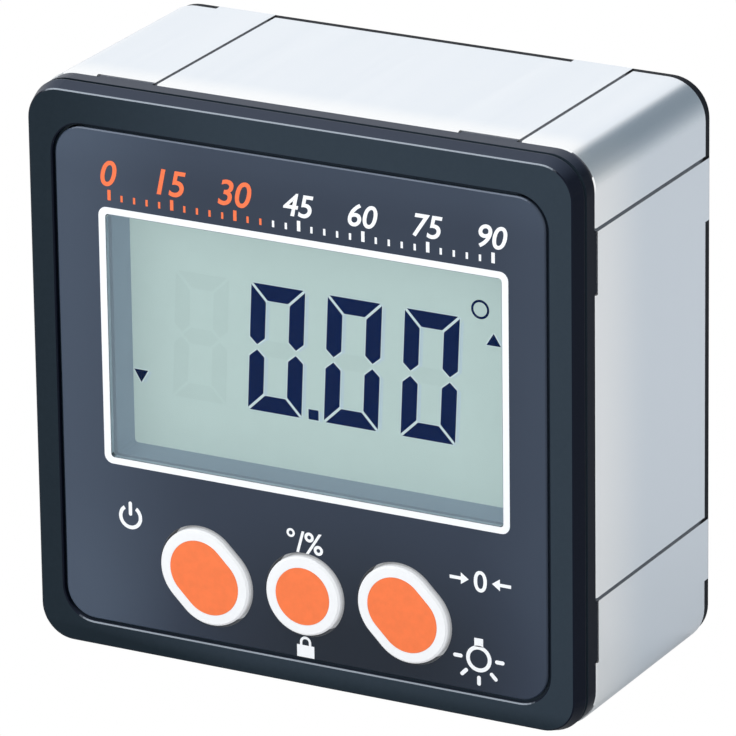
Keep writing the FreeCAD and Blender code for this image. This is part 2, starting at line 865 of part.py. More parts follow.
def main():
    os.makedirs("parts", exist_ok=True)
    save("side_frame", side_frame())
    save("base_magnets", Part.makeCompound(magnets(0)))
    save("front_bezel", front_bezel())
    save("front_label", front_label())
    save("display_window", display_window())
    save("lcd_holder", lcd_holder())
    save("lcd_glass", lcd_glass())
    save("lcd_backlight", lcd_backlight())
    save("backlight_leds", backlight_leds())
    save("zebra_strip", zebra_strip())
    for name, (x, r, half_slot) in keys.items():
        save("key_rim_" + name, key_rim(x, r, half_slot))
        save("key_cap_" + name, key_cap(x, r, half_slot))
        save("switch_plunger_" + name, switch_plunger(x))
        save("switch_body_" + name, switch_body(x))
    save("main_board", main_board())
    save("board_screws", board_screws())
    save("controller_chip", controller_chip())
    save("tilt_sensor", tilt_sensor())
    save("crystal", crystal())
    save("board_parts", board_parts())
    save("bezel_screws", bezel_screws())
    save("cover_screws", cover_screws())
    save("back_cover", back_cover())
    save("battery_tray", battery_tray())
    save("battery_door", battery_door())
    save("door_foam", door_foam())
    upper, lower = cell_zs()
    save("cell_upper", cell(1, upper))
    save("cell_lower", cell(-1, lower))
    save("bridge_contact", bridge_contact())
    positive, negative = tag_places()
    save("upper_contact", tagged_contact(positive))
    save("lower_contact", tagged_contact(negative))
    save("spring_upper", spring(-1, upper))
    save("spring_lower", spring(1, lower))
    save("lead_positive", lead(positive))
    save("lead_negative", lead(negative))


main()
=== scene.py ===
import bpy
import bmesh
import math
from mathutils import Matrix, Vector


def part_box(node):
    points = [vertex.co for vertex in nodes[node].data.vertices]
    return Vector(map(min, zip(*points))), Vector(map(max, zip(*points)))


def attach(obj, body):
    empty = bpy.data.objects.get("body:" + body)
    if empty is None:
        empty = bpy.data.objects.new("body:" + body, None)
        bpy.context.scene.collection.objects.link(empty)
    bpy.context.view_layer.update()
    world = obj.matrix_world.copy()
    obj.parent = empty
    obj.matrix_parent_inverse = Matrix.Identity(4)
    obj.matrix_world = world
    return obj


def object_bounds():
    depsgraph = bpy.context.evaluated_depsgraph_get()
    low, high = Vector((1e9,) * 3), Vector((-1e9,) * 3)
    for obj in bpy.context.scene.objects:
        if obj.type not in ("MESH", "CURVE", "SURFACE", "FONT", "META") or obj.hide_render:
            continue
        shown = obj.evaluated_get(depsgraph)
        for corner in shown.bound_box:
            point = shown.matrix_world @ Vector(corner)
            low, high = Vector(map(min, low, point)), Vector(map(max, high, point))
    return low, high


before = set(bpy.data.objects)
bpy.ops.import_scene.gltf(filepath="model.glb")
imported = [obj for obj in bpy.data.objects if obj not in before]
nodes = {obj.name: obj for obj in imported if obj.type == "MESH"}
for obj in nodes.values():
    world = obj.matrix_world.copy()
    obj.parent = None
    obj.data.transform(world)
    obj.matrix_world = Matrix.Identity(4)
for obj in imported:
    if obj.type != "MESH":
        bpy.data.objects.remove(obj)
cad_low, cad_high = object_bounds()

# Lengths are in metres, so a size in millimetres is written as a number times MM.
MM = 0.001

# Places read from the frame
label_low, label_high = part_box("front_label")
lens_low, lens_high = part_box("display_window")
glass_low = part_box("lcd_glass")[0]
middle_low, middle_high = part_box("key_cap_middle")
frame_low, frame_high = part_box("side_frame")

KEY_X = (middle_low.x + middle_high.x) / 2
KEY_Z = (middle_low.z + middle_high.z) / 2
LENS_FLANGE = 1.52 * MM
WINDOW_LEFT = lens_low.x + LENS_FLANGE
WINDOW_RIGHT = lens_high.x - LENS_FLANGE
WINDOW_LOW = lens_low.z + LENS_FLANGE
WINDOW_HIGH = lens_high.z - LENS_FLANGE
LENS_BORDER = 0.056 * MM
LENS_BACK_SKIN = 0.05 * MM
LENS_BACK_Y = lens_high.y - LENS_BACK_SKIN
INK = 0.02 * MM
LABEL_Y = label_low.y
DISPLAY_Y = glass_low.y

# Camera of the photograph
CAMERA_PLACE = Vector((330.72, -612.66, 284.50)) * MM
CAMERA_YAW = math.radians(28.370)
CAMERA_PITCH = math.radians(20.176)
CAMERA_ROLL = math.radians(-0.776)
CAMERA_LENS = 372.0
CAMERA_SENSOR = 36
CLIP_NEAR = 0.01
CLIP_FAR = 50

# Grooves of the frame, and how far back the painted highlight reaches along its front edge and its sides
GROOVE_XS = (frame_low.x + 12.75 * MM, frame_high.x - 7.95 * MM)
GROOVE_ZS = (frame_low.z + 13.4 * MM, frame_high.z - 7.7 * MM)
GROOVE_HALF = 0.21 * MM
GROOVE_DEPTH = 0.4 * MM
EDGE_HIGHLIGHT_REACH = 4.5 * MM
FLANK_HIGHLIGHT_REACH = 12 * MM
CORNER_BLEND = 3 * MM

# Slanted edges that carry the painted highlight, by how far their normal turns to the front
SLANT_FACING = 0.76
SLANT_SPREAD = 0.12

# Depths of the relief in the finishes
GRAIN_DEPTH = 0.05 * MM
FILM_DEPTH = 0.03 * MM
METAL_DEPTH = 0.02 * MM

# Studio light, the floor's glow and its share are those seen in the gloss
WHITE = (1, 1, 1, 1)
ROOM_COLOUR = (0.93, 0.965, 1.0, 1)
ROOM_LEVEL = 0.50
GREY_SIDE = (0.20, 0.245, 0.28, 1)
FLOOR_SIZE = 0.5
FLOOR_GAP = 0.2 * MM
FLOOR_COLOUR = (0.72, 0.72, 0.73, 1)
FLOOR_GLOW = (0.575, 0.597, 0.61, 1)
FLOOR_SHARE = 0.45

# Lamps by name, place, size and power
LAMP_AIM = (0, 0, 0.03)
LAMPS = (
    ("lamp_top", (-0.35, 0.15, 0.95), 1.3, 6.5),
    ("lamp_front", (-0.6, -1.0, 0.55), 2.0, 16),
    ("lamp_right", (0.95, -0.6, 0.25), 0.93, 2.6),
)

# Characters on the label, thickened by shares of their size, those of the scale leaning too
SIGN_WEIGHT = 0.013
SCALE_WEIGHT = 0.014
SCALE_LEAN = 0.22

# Display digits
DIGITS = 3
DIGIT_W = 5.91 * MM
DIGIT_H = 13.14 * MM
DIGIT_PITCH = 8.38 * MM
DIGIT_BAR = 1.65 * MM
DIGIT_GAP = 0.19 * MM
DIGIT_TIP = 0.27 * MM
DIGIT_SHOULDER = 0.72 * MM
DIGIT_LEAN = 0.050
DIGIT_X = -8.42 * MM
DIGIT_Z = 26.17 * MM
# Shift of the painted shadow, and reach of the painted pale halo round the dark marks
SHADOW_SHIFT = (0.42 * MM, -0.08 * MM)
FRINGE = 0.09 * MM


# Colour given as 0 to 255 display values
def colour(r, g, b):
    def linear(v):
        v = v / 255
        return v / 12.92 if v <= 0.04045 else ((v + 0.055) / 1.055) ** 2.4
    return (linear(r), linear(g), linear(b), 1)


# Materials


def new_material(name):
    material = bpy.data.materials.new(name)
    material.use_nodes = True
    tree = material.node_tree
    return material, tree, tree.nodes["Principled BSDF"]


def link(tree, source, output, target, socket):
    tree.links.new(source.outputs[output], target.inputs[socket])


# The X, Y and Z of a vector that a node gives
def axes_of(tree, kind, output):
    source = tree.nodes.new(kind)
    parts = tree.nodes.new("ShaderNodeSeparateXYZ")
    link(tree, source, output, parts, "Vector")
    return parts


# A mix of two colours, each given as a colour or as a node with its output
def blend(tree, factor, first, second):
    mix = tree.nodes.new("ShaderNodeMix")
    mix.data_type = "RGBA"
    link(tree, factor[0], factor[1], mix, "Factor")
    for socket, value in (("A", first), ("B", second)):
        if len(value) == 2:
            link(tree, value[0], value[1], mix, socket)
        else:
            mix.inputs[socket].default_value = value
    return mix


def surface_noise(tree, scale, detail, stretch=(1, 1, 1)):
    place = tree.nodes.new("ShaderNodeTexCoord")
    mapping = tree.nodes.new("ShaderNodeMapping")
    mapping.inputs["Scale"].default_value = stretch
    noise = tree.nodes.new("ShaderNodeTexNoise")
    noise.inputs["Scale"].default_value = scale
    noise.inputs["Detail"].default_value = detail
    link(tree, place, "Object", mapping, "Vector")
    link(tree, mapping, "Vector", noise, "Vector")
    return noise


def tint_between(tree, source, output, dark, light, low=0.3, high=0.7):
    ramp = tree.nodes.new("ShaderNodeValToRGB")
    ramp.color_ramp.elements[0].position = low
    ramp.color_ramp.elements[0].color = dark
    ramp.color_ramp.elements[1].position = high
    ramp.color_ramp.elements[1].color = light
    link(tree, source, output, ramp, "Fac")
    return ramp


# Follows a value between two limits with a soft start and end, from low to high
def share(tree, source, output, start, end, low=0.0, high=1.0):
    span = tree.nodes.new("ShaderNodeMapRange")
    span.interpolation_type = "SMOOTHSTEP"
    span.inputs["From Min"].default_value = start
    span.inputs["From Max"].default_value = end
    span.inputs["To Min"].default_value = low
    span.inputs["To Max"].default_value = high
    link(tree, source, output, span, "Value")
    return span


# Each term is a number or a node with its output
def calculate(tree, operation, first, second=None, third=None):
    step = tree.nodes.new("ShaderNodeMath")
    step.operation = operation
    for socket, value in enumerate((first, second, third)):
        if isinstance(value, tuple):
            link(tree, value[0], value[1], step, socket)
        elif value is not None:
            step.inputs[socket].default_value = value
    return step


def bump_from(tree, source, output, shader, strength, distance):
    bump = tree.nodes.new("ShaderNodeBump")
    bump.inputs["Strength"].default_value = strength
    bump.inputs["Distance"].default_value = distance
    link(tree, source, output, bump, "Height")
    link(tree, bump, "Normal", shader, "Normal")


# A colour made lighter or darker, whose channels stay within 1
def shade(value, factor):
    return tuple(min(1, c * factor) for c in value[:3]) + (1,)


# A plain coloured material with a fine grain in its colour and relief
def grained(
    name, base, roughness, scale, spread, relief,
    metallic=0.0, stretch=(1, 1, 1), shine=0.5,
):
    material, tree, shader = new_material(name)
    noise = surface_noise(tree, scale, 3, stretch)
    ramp = tint_between(tree, noise, "Fac", shade(base, 1 - spread), shade(base, 1 + spread))
    link(tree, ramp, "Color", shader, "Base Color")
    shader.inputs["Roughness"].default_value = roughness
    shader.inputs["Metallic"].default_value = metallic
    shader.inputs["Specular IOR Level"].default_value = shine
    bump_from(tree, noise, "Fac", shader, relief, GRAIN_DEPTH)
    return material


# A colour that changes along one axis of the object between two places
def graded(name, axis, start, end, first, second, roughness):
    material, tree, shader = new_material(name)
    parts = axes_of(tree, "ShaderNodeTexCoord", "Object")
    span = tree.nodes.new("ShaderNodeMapRange")
    span.inputs["From Min"].default_value = start
    span.inputs["From Max"].default_value = end
    link(tree, parts, axis, span, "Value")
    ramp = tint_between(tree, span, "Result", first, second, 0, 1)
    link(tree, ramp, "Color", shader, "Base Color")
    shader.inputs["Roughness"].default_value = roughness
    noise = surface_noise(tree, 1500, 2)
    bump_from(tree, noise, "Fac", shader, 0.02, FILM_DEPTH)
    return material


# 1 where a coordinate lies within a groove's width of its place
def near(tree, parts, axis, value, reach):
    return calculate(tree, "COMPARE", (parts, axis), value, reach)


# Satin extrusion, a little darker towards its sides, with a painted highlight along its front edge that
# fades back along its sides, and painted shade in its grooves
def aluminium():
    material, tree, shader = new_material("satin_aluminium")
    noise = surface_noise(tree, 420, 4, (1, 0.05, 1))
    ramp = tint_between(tree, noise, "Fac", colour(229, 236, 244), colour(234, 240, 247))
    parts = axes_of(tree, "ShaderNodeTexCoord", "Object")
    outward = calculate(tree, "ABSOLUTE", (parts, "X"))
    side = share(tree, outward, "Value", frame_high.x - CORNER_BLEND, frame_high.x, 0.0, 1.0)
    plain = blend(tree, (side, "Result"), (ramp, "Color"), colour(225, 233, 241))
    # Painted highlight: near white along the front edge, fading back along the sides
    edge = share(tree, parts, "Y", frame_low.y, frame_low.y + EDGE_HIGHLIGHT_REACH, 0.75, 0.0)
    fade = share(tree, parts, "Y", frame_low.y, frame_low.y + FLANK_HIGHLIGHT_REACH, 0.9, 0.0)
    fade = calculate(tree, "MULTIPLY", (fade, "Result"), (side, "Result"))
    edge = calculate(tree, "MAXIMUM", (edge, "Result"), (fade, "Value"))
    lighter = blend(tree, (edge, "Value"), (plain, "Result"), colour(254, 255, 255))
    # Painted shade: the grooves are darkened
    marks = [near(tree, parts, "X", x, GROOVE_HALF) for x in GROOVE_XS]
    flank = calculate(tree, "GREATER_THAN", (outward, "Value"), frame_high.x - GROOVE_DEPTH)
    for z in GROOVE_ZS:
        line = near(tree, parts, "Z", z, GROOVE_HALF)
        marks.append(calculate(tree, "MULTIPLY", (line, "Value"), (flank, "Value")))
    total = marks[0]
    for mark in marks[1:]:
        total = calculate(tree, "MAXIMUM", (total, "Value"), (mark, "Value"))
    groove_shade = blend(tree, (total, "Value"), (lighter, "Result"), colour(188, 190, 194))
    link(tree, groove_shade, "Result", shader, "Base Color")
    rough = tree.nodes.new("ShaderNodeMapRange")
    rough.inputs["To Min"].default_value = 0.20
    rough.inputs["To Max"].default_value = 0.25
    link(tree, noise, "Fac", rough, "Value")
    link(tree, rough, "Result", shader, "Roughness")
    shader.inputs["Metallic"].default_value = 0.9
    bump_from(tree, noise, "Fac", shader, 0.012, METAL_DEPTH)
    return material


# Painted highlight on the narrow slanted edges, strongest where they face upwards
def painted_edge_highlight(tree, source, output, light):
    turned = axes_of(tree, "ShaderNodeNewGeometry", "True Normal")
    flat = calculate(tree, "ABSOLUTE", (turned, "Y"))
    slant = calculate(tree, "COMPARE", (flat, "Value"), SLANT_FACING, SLANT_SPREAD)
    squared = calculate(tree, "MULTIPLY", (flat, "Value"), (flat, "Value"))
    just_over_one = 1.0001
    across = calculate(tree, "SUBTRACT", just_over_one, (squared, "Value"))
    across = calculate(tree, "SQRT", (across, "Value"))
    rise = calculate(tree, "DIVIDE", (turned, "Z"), (across, "Value"))
    upward = share(tree, rise, "Value", 0.85, 1.0)
    highlight_share = calculate(tree, "MULTIPLY", (slant, "Value"), (upward, "Result"))
    return blend(tree, (highlight_share, "Value"), (source, output), light)


# The printed film with a painted sheen, darkest round the keys and lighter towards its borders and its lower
# left, and a painted highlight on its slanted edges where they face upwards
def label_film():
    material, tree, shader = new_material("label_film")
    place = tree.nodes.new("ShaderNodeTexCoord")
    parts = tree.nodes.new("ShaderNodeSeparateXYZ")
    dark_x, dark_z = KEY_X + 6.5 * MM, KEY_Z - 6 * MM
    dark_reach_x, dark_reach_z = 27 * MM, 18 * MM
    spread = tree.nodes.new("ShaderNodeMapping")
    spread.vector_type = "TEXTURE"
    spread.inputs["Location"].default_value = (dark_x, label_low.y, dark_z)
    spread.inputs["Scale"].default_value = (dark_reach_x, 1, dark_reach_z)
    reach = tree.nodes.new("ShaderNodeVectorMath")
    reach.operation = "LENGTH"
    link(tree, place, "Object", parts, "Vector")
    link(tree, place, "Object", spread, "Vector")
    link(tree, spread, "Vector", reach, 0)
    # Painted sheen: lighter towards the borders and the lower left, darkest round the keys
    left = share(tree, parts, "X", label_low.x + 16 * MM, label_low.x, 0, 0.36)
    right = share(tree, parts, "X", label_high.x - 9 * MM, label_high.x, 0, 0.14)
    top = share(tree, parts, "Z", label_high.z - 5 * MM, label_high.z, 0, 0.14)
    keys = share(tree, reach, "Value", 0.1, 1.0, 0.0, 0.48)
    foot = share(tree, parts, "Z", label_low.z + 16 * MM, label_low.z, 0, 0.55)
    foot = calculate(tree, "MULTIPLY", (foot, "Result"), (left, "Result"))
    cloud = surface_noise(tree, 55, 2)
    total = calculate(tree, "MULTIPLY_ADD", (cloud, "Fac"), 0.08, (keys, "Result"))
    total = calculate(tree, "ADD", (total, "Value"), (foot, "Value"))
    for border in (left, right, top):
        total = calculate(tree, "ADD", (total, "Value"), (border, "Result"))
    ramp = tint_between(tree, total, "Value", colour(21, 30, 41), colour(67, 79, 96), 0.0, 1.0)
    middle = ramp.color_ramp.elements.new(0.5)
    middle.color = colour(44, 54, 70)
    edge_highlighted = painted_edge_highlight(tree, ramp, "Color", colour(120, 130, 146))
    link(tree, edge_highlighted, "Result", shader, "Base Color")
    shader.inputs["Roughness"].default_value = 0.30
    shader.inputs["Specular IOR Level"].default_value = 0.30
    grain = surface_noise(tree, 1800, 2)
    bump_from(tree, grain, "Fac", shader, 0.02, FILM_DEPTH)
    return material


# Moulded plastic with a fine spark texture, darker by painted shade on its walls, towards its left and at
# its foot, painted light on the walls' upward faces, a painted highlight on its slanted edges, and least
# shiny on its sides
def moulded_front():
    material, tree, shader = new_material("moulded_front")
    noise = surface_noise(tree, 2200, 3)
    parts = axes_of(tree, "ShaderNodeTexCoord", "Object")
    # Painted shade: darker towards the left and at the foot
    left = share(tree, parts, "X", frame_low.x + 1 * MM, frame_low.x + 26 * MM, 0.0, 0.8)
    foot = share(tree, parts, "Z", frame_low.z + 0.6 * MM, frame_low.z + 2.6 * MM, -0.7, 0.0)
    tone = calculate(tree, "MULTIPLY_ADD", (noise, "Fac"), 0.2, (left, "Result"))
    tone = calculate(tree, "ADD", (tone, "Value"), (foot, "Result"))
    front = tint_between(tree, tone, "Value", colour(25, 36, 44), colour(47, 58, 68), 0.0, 1.0)
    # Painted shade on the walls, with painted light where they face upwards
    turned = axes_of(tree, "ShaderNodeNewGeometry", "True Normal")
    flat = calculate(tree, "ABSOLUTE", (turned, "Y"))
    face = share(tree, flat, "Value", 0.85, 0.98)
    smooth = axes_of(tree, "ShaderNodeNewGeometry", "Normal")
    upward = share(tree, smooth, "Z", 0.5, 0.95)
    rim = tint_between(tree, upward, "Result", colour(15, 21, 34), colour(50, 57, 71), 0, 1)
    walls = blend(tree, (face, "Result"), (rim, "Color"), (front, "Color"))
    edge_highlighted = painted_edge_highlight(tree, walls, "Result", colour(150, 158, 168))
    link(tree, edge_highlighted, "Result", shader, "Base Color")
    sideways = calculate(tree, "ABSOLUTE", (turned, "X"))
    shine = share(tree, sideways, "Value", 0.90, 0.99, 0.08, 0.035)
    link(tree, shine, "Result", shader, "Specular IOR Level")
    shader.inputs["Roughness"].default_value = 0.33
    bump_from(tree, noise, "Fac", shader, 0.10, GRAIN_DEPTH)
    return material


# Partly its own glow, so that the display's well and the white keys stay evenly lit
def glowing_film(name, tone, glow):
    material, tree, shader = new_material(name)
    noise = surface_noise(tree, 500, 2)
    ramp = tint_between(tree, noise, "Fac", shade(tone, 0.99 - glow), shade(tone, 1.01 - glow))
    link(tree, ramp, "Color", shader, "Base Color")
    shader.inputs["Emission Color"].default_value = tone
    shader.inputs["Emission Strength"].default_value = glow
    shader.inputs["Roughness"].default_value = 0.5
    shader.inputs["Specular IOR Level"].default_value = 0.1
    return material


# Clear in the window, with a frosted border where the lens runs under the label
def clear_lens():
    material, tree, shader = new_material("clear_lens")
    through = tree.nodes.new("ShaderNodeBsdfTransparent")
    through.inputs["Color"].default_value = (0.985, 0.995, 0.995, 1)
    gloss = tree.nodes.new("ShaderNodeBsdfGlossy")
    gloss.inputs["Roughness"].default_value = 0.05
    fresnel = tree.nodes.new("ShaderNodeFresnel")
    fresnel.inputs["IOR"].default_value = 1.15
    clear = tree.nodes.new("ShaderNodeMixShader")
    link(tree, fresnel, "Fac", clear, 0)
    link(tree, through, "BSDF", clear, 1)
    link(tree, gloss, "BSDF", clear, 2)
    parts = axes_of(tree, "ShaderNodeTexCoord", "Object")
    outside = []
    for axis, low, high in (("X", WINDOW_LEFT, WINDOW_RIGHT), ("Z", WINDOW_LOW, WINDOW_HIGH)):
        away = calculate(tree, "SUBTRACT", (parts, axis), (low + high) / 2)
        away = calculate(tree, "ABSOLUTE", (away, "Value"))
        outside.append(calculate(tree, "GREATER_THAN", (away, "Value"), (high - low) / 2 - LENS_BORDER))
    border = calculate(tree, "MAXIMUM", (outside[0], "Value"), (outside[1], "Value"))
    ahead = calculate(tree, "LESS_THAN", (parts, "Y"), LENS_BACK_Y)
    border = calculate(tree, "MULTIPLY", (border, "Value"), (ahead, "Value"))
    noise = surface_noise(tree, 700, 2)
    ramp = tint_between(tree, noise, "Fac", colour(176, 196, 208), colour(186, 206, 218))
    link(tree, ramp, "Color", shader, "Base Color")
    shader.inputs["Roughness"].default_value = 0.7
    mix = tree.nodes.new("ShaderNodeMixShader")
    link(tree, border, "Value", mix, 0)
    link(tree, clear, "Shader", mix, 1)
    link(tree, shader, "BSDF", mix, 2)
    link(tree, mix, "Shader", tree.nodes["Material Output"], "Surface")
    return material


# Green lacquer with a fine net of lighter tracks
def board_mask():
    material, tree, shader = new_material("board_mask")
    place = tree.nodes.new("ShaderNodeTexCoord")
    tracks = tree.nodes.new("ShaderNodeTexBrick")
    tracks.inputs["Scale"].default_value = 260
    tracks.inputs["Mortar Size"].default_value = 0.06
    tracks.inputs["Color1"].default_value = colour(18, 92, 48)
    tracks.inputs["Color2"].default_value = colour(20, 98, 52)
    tracks.inputs["Mortar"].default_value = colour(46, 132, 70)
    turn = tree.nodes.new("ShaderNodeMapping")
    turn.inputs["Rotation"].default_value = (math.pi / 2, 0, 0)
    link(tree, place, "Object", turn, "Vector")
    link(tree, turn, "Vector", tracks, "Vector")
    link(tree, tracks, "Color", shader, "Base Color")
    shader.inputs["Roughness"].default_value = 0.35
    return material


# Stage, lights and camera


# White to the camera, with a partial glow in the gloss, and clear when seen from below
def make_floor():
    bpy.ops.mesh.primitive_plane_add(size=FLOOR_SIZE, location=(0, 0, cad_low.z - FLOOR_GAP))
    floor = bpy.context.object
    floor.name = "floor"
    material, tree, shader = new_material("floor_paper")
    shader.inputs["Base Color"].default_value = FLOOR_COLOUR
    shader.inputs["Roughness"].default_value = 0.9
    path = tree.nodes.new("ShaderNodeLightPath")
    seen = calculate(tree, "MAXIMUM", (path, "Is Camera Ray"), (path, "Is Transmission Ray"))
    glow = tree.nodes.new("ShaderNodeEmission")
    glow.inputs["Color"].default_value = WHITE
    sheen = tree.nodes.new("ShaderNodeEmission")
    sheen.inputs["Color"].default_value = FLOOR_GLOW
    clear = tree.nodes.new("ShaderNodeBsdfTransparent")
    side = tree.nodes.new("ShaderNodeNewGeometry")
    first = tree.nodes.new("ShaderNodeMixShader")
    second = tree.nodes.new("ShaderNodeMixShader")
    third = tree.nodes.new("ShaderNodeMixShader")
    mirrored = calculate(tree, "MULTIPLY", (path, "Is Glossy Ray"), FLOOR_SHARE)
    link(tree, mirrored, "Value", first, 0)
    link(tree, shader, "BSDF", first, 1)
    link(tree, sheen, "Emission", first, 2)
    link(tree, seen, "Value", second, 0)
    link(tree, first, "Shader", second, 1)
    link(tree, glow, "Emission", second, 2)
    link(tree, side, "Backfacing", third, 0)
    link(tree, second, "Shader", third, 1)
    link(tree, clear, "BSDF", third, 2)
    link(tree, third, "Shader", tree.nodes["Material Output"], "Surface")
    floor.data.materials.append(material)


# White to the camera and in the gloss, with a soft grey side in the gloss, and a plain even light
def make_world():
    world = bpy.data.worlds.new("studio")
    bpy.context.scene.world = world
    world.use_nodes = True
    tree = world.node_tree
    room = tree.nodes["Background"]
    room.inputs["Color"].default_value = ROOM_COLOUR
    room.inputs["Strength"].default_value = ROOM_LEVEL
    parts = axes_of(tree, "ShaderNodeTexCoord", "Generated")
    right = share(tree, parts, "X", -0.08, 0.10)
    behind = share(tree, parts, "Y", 0.1, 0.6)
    above = share(tree, parts, "Z", -0.75, 0.42)
    corner = calculate(tree, "MULTIPLY", (right, "Result"), (behind, "Result"))
    corner = calculate(tree, "MULTIPLY", (corner, "Value"), (above, "Result"))
    tone = tint_between(tree, corner, "Value", WHITE, GREY_SIDE, 0, 1)
    gloss = tree.nodes.new("ShaderNodeBackground")
    link(tree, tone, "Color", gloss, "Color")
    white = tree.nodes.new("ShaderNodeBackground")
    white.inputs["Color"].default_value = WHITE
    path = tree.nodes.new("ShaderNodeLightPath")
    seen = calculate(tree, "MAXIMUM", (path, "Is Camera Ray"), (path, "Is Transmission Ray"))
    first = tree.nodes.new("ShaderNodeMixShader")
    second = tree.nodes.new("ShaderNodeMixShader")
    link(tree, path, "Is Glossy Ray", first, 0)
    link(tree, room, "Background", first, 1)
    link(tree, gloss, "Background", first, 2)
    link(tree, seen, "Value", second, 0)
    link(tree, first, "Shader", second, 1)
    link(tree, white, "Background", second, 2)
    link(tree, second, "Shader", tree.nodes["World Output"], "Surface")


# Lamps stay out of the gloss, where they would burn the metal out to white
def area_lamp(name, place, size, power):
    data = bpy.data.lights.new(name, "AREA")
    data.size = size
    data.energy = power
    lamp = bpy.data.objects.new(name, data)
    bpy.context.scene.collection.objects.link(lamp)
    lamp.location = place
    lamp.visible_glossy = False
    lamp.rotation_mode = "QUATERNION"
    lamp.rotation_quaternion = (Vector(LAMP_AIM) - Vector(place)).to_track_quat("-Z", "Y")


def make_camera():
    data = bpy.data.cameras.new("photo_camera")
    data.lens = CAMERA_LENS
    data.sensor_width = CAMERA_SENSOR
    data.clip_start = CLIP_NEAR
    data.clip_end = CLIP_FAR
    camera = bpy.data.objects.new("photo_camera", data)
    bpy.context.scene.collection.objects.link(camera)
    turn = Matrix.Rotation(CAMERA_YAW, 4, "Z") @ Matrix.Rotation(math.pi / 2 - CAMERA_PITCH, 4, "X")
    turn = turn @ Matrix.Rotation(CAMERA_ROLL, 4, "Z")
    camera.matrix_world = Matrix.Translation(CAMERA_PLACE) @ turn
    bpy.context.scene.camera = camera


# Flat prints, given by points of x and z


def add_piece(name, mesh, material, body):
    piece = bpy.data.objects.new(name, mesh)
    bpy.context.scene.collection.objects.link(piece)
    piece.data.materials.append(material)
    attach(piece, body)


# Each outline becomes a thin plate whose front lies at y and whose back lies on the surface
def print_outlines(name, outlines, surface_y, thickness, material, body):
    shape = bmesh.new()
    for outline in outlines:
        front = [shape.verts.new((x, surface_y - thickness, z)) for x, z in outline]
        back = [shape.verts.new((x, surface_y, z)) for x, z in outline]
        shape.faces.new(front)
        shape.faces.new(back[::-1])
        for i in range(len(outline)):
            j = (i + 1) % len(outline)
            shape.faces.new((front[j], front[i], back[i], back[j]))
    bmesh.ops.recalc_face_normals(shape, faces=shape.faces)
    mesh = bpy.data.meshes.new(name)
    shape.to_mesh(mesh)
    shape.free()
    add_piece(name, mesh, material, body)


def print_label(name, outlines, ink):
    print_outlines(name, outlines, LABEL_Y, INK, ink, "case")


# The faint marks of the display are thinner than its dark ones and lie behind them
def print_display(name, outlines, layer, material):
    print_outlines(name, outlines, DISPLAY_Y, layer * INK, material, "case")


# Four-sided outlines between two lines with as many points, all the way round where the lines are closed
def band_between(outer, inner, closed=True):
    quads = []
    for i in range(len(outer) if closed else len(outer) - 1):
        j = (i + 1) % len(outer)
        quads.append([outer[i], outer[j], inner[j], inner[i]])
    return quads


def arc_points(x, z, r, start, end, steps):
    points = []
    for i in range(steps + 1):
        a = math.radians(start + (end - start) * i / steps)
        points.append((x + r * math.cos(a), z + r * math.sin(a)))
    return points


def circle_points(x, z, r, steps=48):
    return arc_points(x, z, r, 0, 360, steps)[:-1]


def rounded_points(x0, x1, z0, z1, r, steps=6):
    points = arc_points(x1 - r, z1 - r, r, 0, 90, steps)
    points += arc_points(x0 + r, z1 - r, r, 90, 180, steps)
    points += arc_points(x0 + r, z0 + r, r, 180, 270, steps)
    points += arc_points(x1 - r, z0 + r, r, 270, 360, steps)
    return points


def box_points(x0, x1, z0, z1):
    return [(x0, z0), (x1, z0), (x1, z1), (x0, z1)]


# A triangle on a level side, with its tip up, or down where its height is negative
def pointer_points(x, z, w, h):
    return [(x - w / 2, z), (x + w / 2, z), (x, z + h)]


def line_points(x0, z0, x1, z1, w):
    dx, dz = x1 - x0, z1 - z0
    length = math.hypot(dx, dz)
    nx, nz = -dz / length * w / 2, dx / length * w / 2
    return [(x0 + nx, z0 + nz), (x1 + nx, z1 + nz), (x1 - nx, z1 - nz), (x0 - nx, z0 - nz)]


# A line with round ends, which reach half its width past its end points
def round_line_points(x0, z0, x1, z1, w, steps=8):
    turn = math.degrees(math.atan2(z1 - z0, x1 - x0))
    far_end = arc_points(x1, z1, w / 2, turn - 90, turn + 90, steps)
    near_end = arc_points(x0, z0, w / 2, turn + 90, turn + 270, steps)
    return far_end + near_end


# Characters of the built-in font on the label, centred on x and standing on z
def print_signs(name, words, x, z, high, material, lean=0.0, weight=SIGN_WEIGHT):
    curve = bpy.data.curves.new(name, "FONT")
    curve.body = words
    curve.shear = lean
    curve.offset = weight
    holder = bpy.data.objects.new(name + "_curve", curve)
    bpy.context.scene.collection.objects.link(holder)
    bpy.context.view_layer.update()
    mesh = bpy.data.meshes.new_from_object(holder)
    bpy.data.objects.remove(holder)
    xs = [v.co.x for v in mesh.vertices]
    ys = [v.co.y for v in mesh.vertices]
    scale = high / (max(ys) - min(ys))
    middle, low = (min(xs) + max(xs)) / 2, min(ys)
    for v in mesh.vertices:
        v.co = (x + (v.co.x - middle) * scale, LABEL_Y - INK, z + (v.co.y - low) * scale)
    mesh.materials.clear()
    add_piece(name, mesh, material, "case")


# Label print


def window_line(ink):
    wide, thin = 0.74 * MM, 0.68 * MM
    outer_r, inner_r = 0.9 * MM, 0.35 * MM
    outer = rounded_points(
        WINDOW_LEFT - wide, WINDOW_RIGHT + thin, WINDOW_LOW - thin, WINDOW_HIGH + thin, outer_r
    )
    inner = rounded_points(WINDOW_LEFT, WINDOW_RIGHT, WINDOW_LOW, WINDOW_HIGH, inner_r)
    print_label("window_line", band_between(outer, inner), ink)


